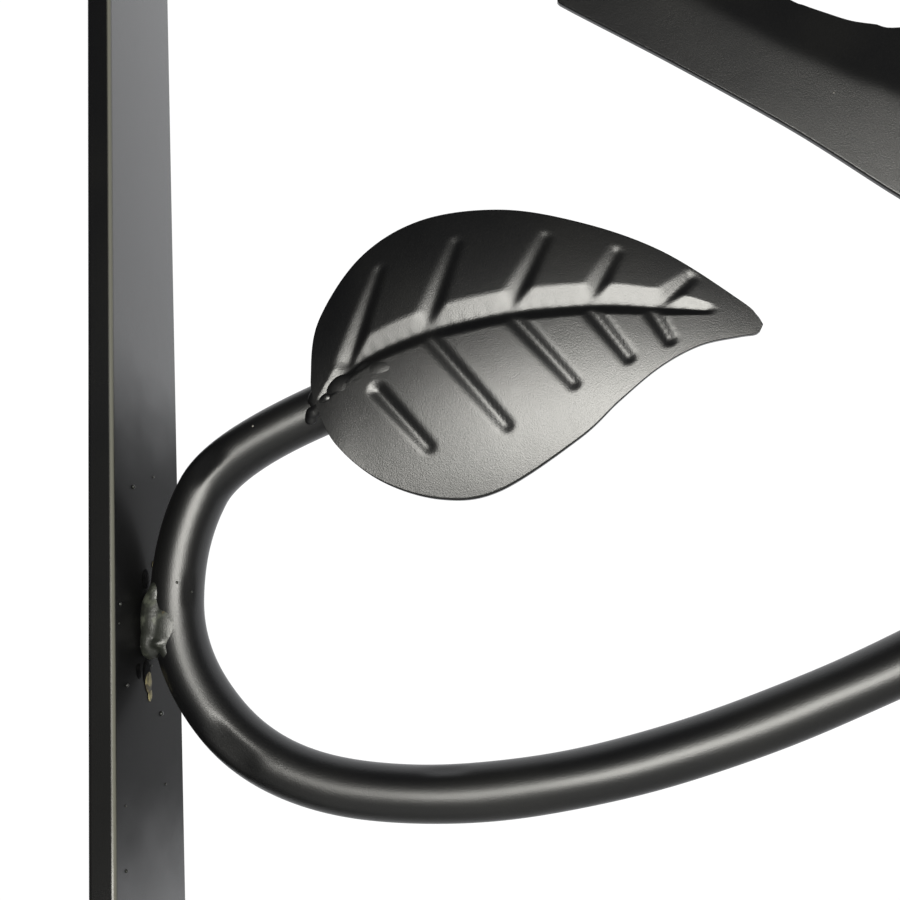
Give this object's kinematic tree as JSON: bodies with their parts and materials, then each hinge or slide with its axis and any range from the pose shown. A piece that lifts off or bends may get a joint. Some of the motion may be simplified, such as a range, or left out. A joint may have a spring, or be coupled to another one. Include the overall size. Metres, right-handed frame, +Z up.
{
  "type": "garden trellis arch",
  "caption": "Free-standing black metal garden arch: flat-bar legs and hoops, rod rungs, and side panels of a waved vine with hooked branches, pressed leaves and birds.",
  "frame": {"origin": "on the ground, at the centre of the passage", "axes": "X across the passage, +Y from the front to the rear along the passage, +Z up"},
  "size_m": [1.29, 0.495, 2.315],
  "materials": {
    "flat_bar": "satin black powder coat on flat bar",
    "round_rod": "semi-gloss black powder coat on round rod",
    "pressed_sheet": "satin black powder coat on pressed sheet",
    "weld_bead": "thinly coated weld bead, worn bare in spots",
    "fastener": "black plated steel"
  },
  "bodies": {
    "root": {"left_front_stile": "flat_bar", "left_rear_stile": "flat_bar", "left_bottom_rail": "flat_bar", "left_top_rail": "flat_bar", "left_vine_stem": "round_rod", "left_branch_1": "round_rod", "left_leaf_1": "pressed_sheet", "left_branch_2": "round_rod", "left_leaf_2": "pressed_sheet", "left_branch_3": "round_rod", "left_leaf_3": "pressed_sheet", "left_branch_4": "round_rod", "left_leaf_4": "pressed_sheet", "left_branch_5": "round_rod", "left_leaf_5": "pressed_sheet", "left_branch_6": "round_rod", "left_leaf_6": "pressed_sheet", "left_lower_bird": "pressed_sheet", "left_upper_bird": "pressed_sheet", "left_weld_beads": "weld_bead", "right_front_stile": "flat_bar", "right_rear_stile": "flat_bar", "right_bottom_rail": "flat_bar", "right_top_rail": "flat_bar", "right_vine_stem": "round_rod", "right_branch_1": "round_rod", "right_leaf_1": "pressed_sheet", "right_branch_2": "round_rod", "right_leaf_2": "pressed_sheet", "right_branch_3": "round_rod", "right_leaf_3": "pressed_sheet", "right_branch_4": "round_rod", "right_leaf_4": "pressed_sheet", "right_branch_5": "round_rod", "right_leaf_5": "pressed_sheet", "right_branch_6": "round_rod", "right_leaf_6": "pressed_sheet", "right_lower_bird": "pressed_sheet", "right_upper_bird": "pressed_sheet", "right_weld_beads": "weld_bead", "front_hoop_left": "flat_bar", "front_hoop_right": "flat_bar", "rear_hoop_left": "flat_bar", "rear_hoop_right": "flat_bar", "rung_1": "round_rod", "rung_2": "round_rod", "rung_3": "round_rod", "rung_4": "round_rod", "rung_5": "round_rod", "rung_6": "round_rod", "rung_7": "round_rod", "rung_8": "round_rod", "rung_weld_beads": "weld_bead", "springing_plates": "flat_bar", "crown_plates": "flat_bar", "joint_bolts": "fastener", "joint_washers": "fastener", "joint_nuts": "fastener", "foot_plates": "flat_bar"}
  },
  "joints": []
}
